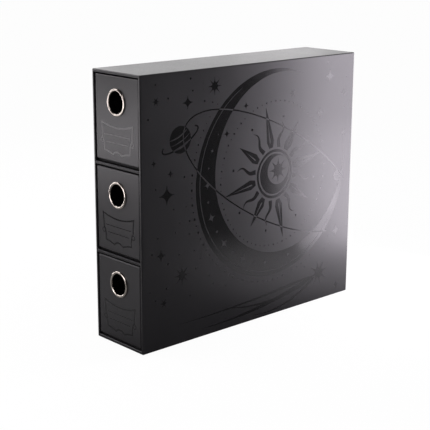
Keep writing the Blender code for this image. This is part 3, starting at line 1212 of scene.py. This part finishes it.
def lay_dots(name, side, row):
    """One ring of dots on one side of the case."""
    label, count, radius, dot, second, fade_from, fade_to = row
    tilt, towards_moon = math.radians(side * ORBIT_TILT), Vector((-side * 15.0, -13.0, 0)).normalized()
    place = (side * (CASE_HIGH.x + VARNISH_HEIGHT / 2), CASE_LOW.y + SUN[0] * MILLIMETRE,
             CASE_LOW.z + SUN[1] * MILLIMETRE)
    piece = grow(name + "_" + label, bpy.data.node_groups["ring of dots"], {
        "Count": count, "Radius": radius * MILLIMETRE, "Dot": dot * MILLIMETRE, "Every Second": second,
        "Height": VARNISH_HEIGHT, "Heading": towards_moon, "Fade From": fade_from, "Fade To": fade_to,
        "Orbit": (ORBIT_HALVES[0] * MILLIMETRE, ORBIT_HALVES[1] * MILLIMETRE, 1), "Orbit Tilt": (0, 0, tilt),
        "Clearance": ORBIT_CLEARANCE, "Place": place, "Turn": (math.pi / 2, 0, side * math.pi / 2), "Material": varnish})
    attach(piece, "case")
    return piece


for name, side in (("right_side", 1), ("left_side", -1)):
    for row in DOT_RINGS:
        ring = lay_dots(name, side, row)
        print(ring.name, len(ring.data.polygons), "faces")

# %% [markdown]
# ## Dressing the solids that still show
# Some solids already have the right shape: the boards inside the wrap, and the flat sheets under and
# behind the case. They stay, and get a finish with grain instead of a plain colour.

# %% Finish the boards and sheets
for name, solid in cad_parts.items():
    solid.data.materials.clear()
    if name.endswith("_sheet"):
        solid.data.materials.append(case_paper)
    elif name.endswith("_board"):
        solid.data.materials.append(lining)
    else:
        solid.data.materials.append(board)
print("solids:", len(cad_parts))

# %% [markdown]
# ## The studio
# A black box shows everything that stands around it. So the room is as for a real photograph of one:
# a white floor and backdrop where the camera looks, and a dark room on the near right side, so that
# the matte paper stays black there. The floor is a diffuse sheet that the camera sees as white, with
# a little of its real shade left in, which keeps the shadow of the box. Varnish mirrors the floor
# close by, and there the floor has painted shade for reflections: a dark grey instead of its white,
# with two painted pools of light where it shows its real pale shade, one beside the right side and
# a weak one before the drawers. They set how far the print stands out from the paper.

# %% Floor and backdrop
WHITE = (1, 1, 1, 1)
BACKDROP_SIDE = Vector((-0.77, 0.64, 0.0)).normalized()
# Painted light on the floor, seen only in reflections: pools of light, and a dark grey of painted shade near the
# box.
PAINTED_LIGHT_POOLS = (((0.17, 0.24, 0.0), 0.25, 0.6), ((-0.18, -0.34, 0.0), 0.30, 0.25))
FLOOR_WHITE = 0.85
FLOOR_GLOW = 0.95
PAINTED_SHADE_GREY = 0.10
FLOOR_HALF = 6.0
POOL_EDGE = 0.10
AMBIENT = 0.75
DARK_ROOM = 0.02


def towards(place, direction):
    """How far a place or a direction lies towards another direction."""
    return node(place.tree, "ShaderNodeVectorMath", {"operation": "DOT_PRODUCT"},
                {0: place, 1: direction}, output=1)


def mixed(factor, first, second):
    """One of two shaders, or a mix of them."""
    return node(factor.tree, "ShaderNodeMixShader", None, {0: factor, 1: first, 2: second})


def light_path(tree):
    """Wires that are one for camera and transmission rays, and for glossy rays."""
    camera = node(tree, "ShaderNodeLightPath", output=0)
    sent = camera.socket.node.outputs
    straight = camera + Wire(tree, sent["Is Transmission Ray"])
    return straight, Wire(tree, sent["Is Glossy Ray"])


def make_floor():
    """A pale floor. To the eye it is white. Reflections see it white far off towards the backdrop,
    dark near the box, where shade is painted, and paler in painted pools of light beside it."""
    corners = [(-FLOOR_HALF, -FLOOR_HALF, 0), (FLOOR_HALF, -FLOOR_HALF, 0),
               (FLOOR_HALF, FLOOR_HALF, 0), (-FLOOR_HALF, FLOOR_HALF, 0)]
    mesh = bpy.data.meshes.new("floor")
    mesh.from_pydata(corners, [], [(0, 1, 2, 3)])
    floor = add_object("floor", mesh)
    material, shader, place = new_material("floor", Roughness=0.9, Specular_IOR_Level=0.0)
    shader.inputs["Base Color"].default_value = (FLOOR_WHITE, FLOOR_WHITE, FLOOR_WHITE, 1)
    tree = place.tree
    sheet = Wire(tree, shader.outputs[0])
    white = node(tree, "ShaderNodeEmission", None, {"Color": WHITE, "Strength": 1.0})
    # Painted shade: reflections see this dark grey near the box instead of the floor's white.
    dark = node(tree, "ShaderNodeBsdfDiffuse", None, {"Color": (PAINTED_SHADE_GREY, PAINTED_SHADE_GREY, PAINTED_SHADE_GREY, 1)})
    straight, glossy = light_path(tree)
    along = towards(place, BACKDROP_SIDE)
    # Painted pools of light: paler patches, seen only in reflections, where the floor shows its real shade.
    pools = 0.0
    for middle, reach, strength in PAINTED_LIGHT_POOLS:
        apart = node(tree, "ShaderNodeVectorMath", {"operation": "DISTANCE"},
                     {0: place, 1: middle}, output=1)
        pools = ramp(apart, reach, POOL_EDGE) * strength + pools
    seen = mixed(straight * FLOOR_GLOW, sheet, white)
    near = mixed(pools, dark, sheet)
    mirrored = mixed(ramp(along, 0.3, 1.1), near, white)
    final = mixed(glossy, seen, mirrored)
    tree.links.new(final.socket, tree.nodes["Material Output"].inputs[0])
    mesh.materials.append(material)


def make_backdrop():
    """White all round to the eye. Reflections see it white on the backdrop's side only."""
    world = bpy.data.worlds.new("studio")
    bpy.context.scene.world = world
    world.use_nodes = True
    tree = world.node_tree
    direction = node(tree, "ShaderNodeTexCoord", output=0)
    soft = node(tree, "ShaderNodeBackground", None, {"Color": WHITE, "Strength": AMBIENT})
    white = node(tree, "ShaderNodeBackground", None, {"Color": WHITE, "Strength": 1.0})
    dark = node(tree, "ShaderNodeBackground", None, {"Color": WHITE, "Strength": DARK_ROOM})
    straight, glossy = light_path(tree)
    lit = ramp(towards(direction, BACKDROP_SIDE), 0.15, 0.75)
    final = mixed(glossy, mixed(straight, soft, white), mixed(lit, dark, white))
    tree.links.new(final.socket, tree.nodes["World Output"].inputs[0])


make_floor()
make_backdrop()
print("floor spans", 2 * FLOOR_HALF, "m")

# %% [markdown]
# ## Softboxes
# The shine is drawn by softboxes. Seven small ones stand close together at the far end of the right
# side and make the glow that fades towards the camera, because many dim boxes fade more evenly than
# one bright one. Four behind light the top, and those on the left and in front light the drawer
# fronts. Each row gives a heading round the box in degrees, a distance, a height, a width, how tall
# it is, a radiance and a colour.

# %% Softboxes
ROSY = (1.0, 0.95, 0.99)
LILAC = (1.0, 0.935, 1.03)
AIM = Vector((0, 0, 0.17))


def softbox(name, heading, distance, height, width, tall, radiance, colour):
    """A soft lamp that looks at the middle of the box, as bright as a surface of that radiance."""
    data = bpy.data.lights.new(name, "AREA")
    data.shape = "RECTANGLE"
    data.size = width
    data.size_y = tall
    data.energy = radiance * math.pi * width * tall
    data.color = colour
    lamp = add_object(name, data)
    lamp.visible_camera = False
    turn = math.radians(heading)
    lamp.location = (distance * math.cos(turn), distance * math.sin(turn), height)
    lamp.rotation_mode = "QUATERNION"
    lamp.rotation_quaternion = (AIM - lamp.location).to_track_quat("-Z", "Y")


SOFTBOXES = (
    ("side softbox low", 66, 0.36, 0.115, 0.13, 0.18, 3.0, LILAC),
    ("side softbox high", 66, 0.36, 0.285, 0.13, 0.18, 2.5, LILAC),
    ("side softbox wide", 67, 0.36, 0.20, 0.22, 0.40, 2.9, LILAC),
    ("side softbox near low", 60, 0.36, 0.10, 0.10, 0.20, 1.2, LILAC),
    ("side softbox near tall", 52, 0.40, 0.25, 0.10, 0.40, 2.5, LILAC),
    ("side softbox near top", 56, 0.36, 0.40, 0.12, 0.16, 1.1, LILAC),
    ("side softbox end", 76, 0.40, 0.20, 0.16, 0.40, 1.7, LILAC),
    ("back softbox low", 137, 1.20, 0.40, 0.45, 0.26, 0.8, ROSY),
    ("back softbox near", 125, 0.80, 0.50, 0.30, 0.25, 0.35, ROSY),
    ("back softbox high", 158, 1.20, 0.75, 0.40, 0.25, 1.3, ROSY),
    ("back softbox top", 165, 1.20, 0.95, 0.50, 0.30, 2.4, ROSY),
    ("left softbox low", 201, 1.00, 0.10, 0.30, 0.20, 5.5, ROSY),
    ("left softbox", 201, 1.00, 0.50, 0.40, 0.30, 3.2, ROSY),
    ("left softbox high", 222, 1.00, 0.75, 0.40, 0.30, 5.0, ROSY),
    ("front softbox", 240, 1.00, 0.35, 0.30, 0.30, 0.4, ROSY),
    ("front softbox right", 255, 0.90, 0.20, 0.30, 0.30, 5.0, ROSY),
    ("front strip", 228, 0.84, 0.135, 0.24, 0.13, 2.7, ROSY),
    ("front low", 245, 0.90, 0.08, 0.25, 0.12, 4.5, ROSY),
    ("key softbox", 290, 1.50, 1.20, 0.60, 0.60, 3.3, ROSY),
)
for row in SOFTBOXES:
    softbox(*row)
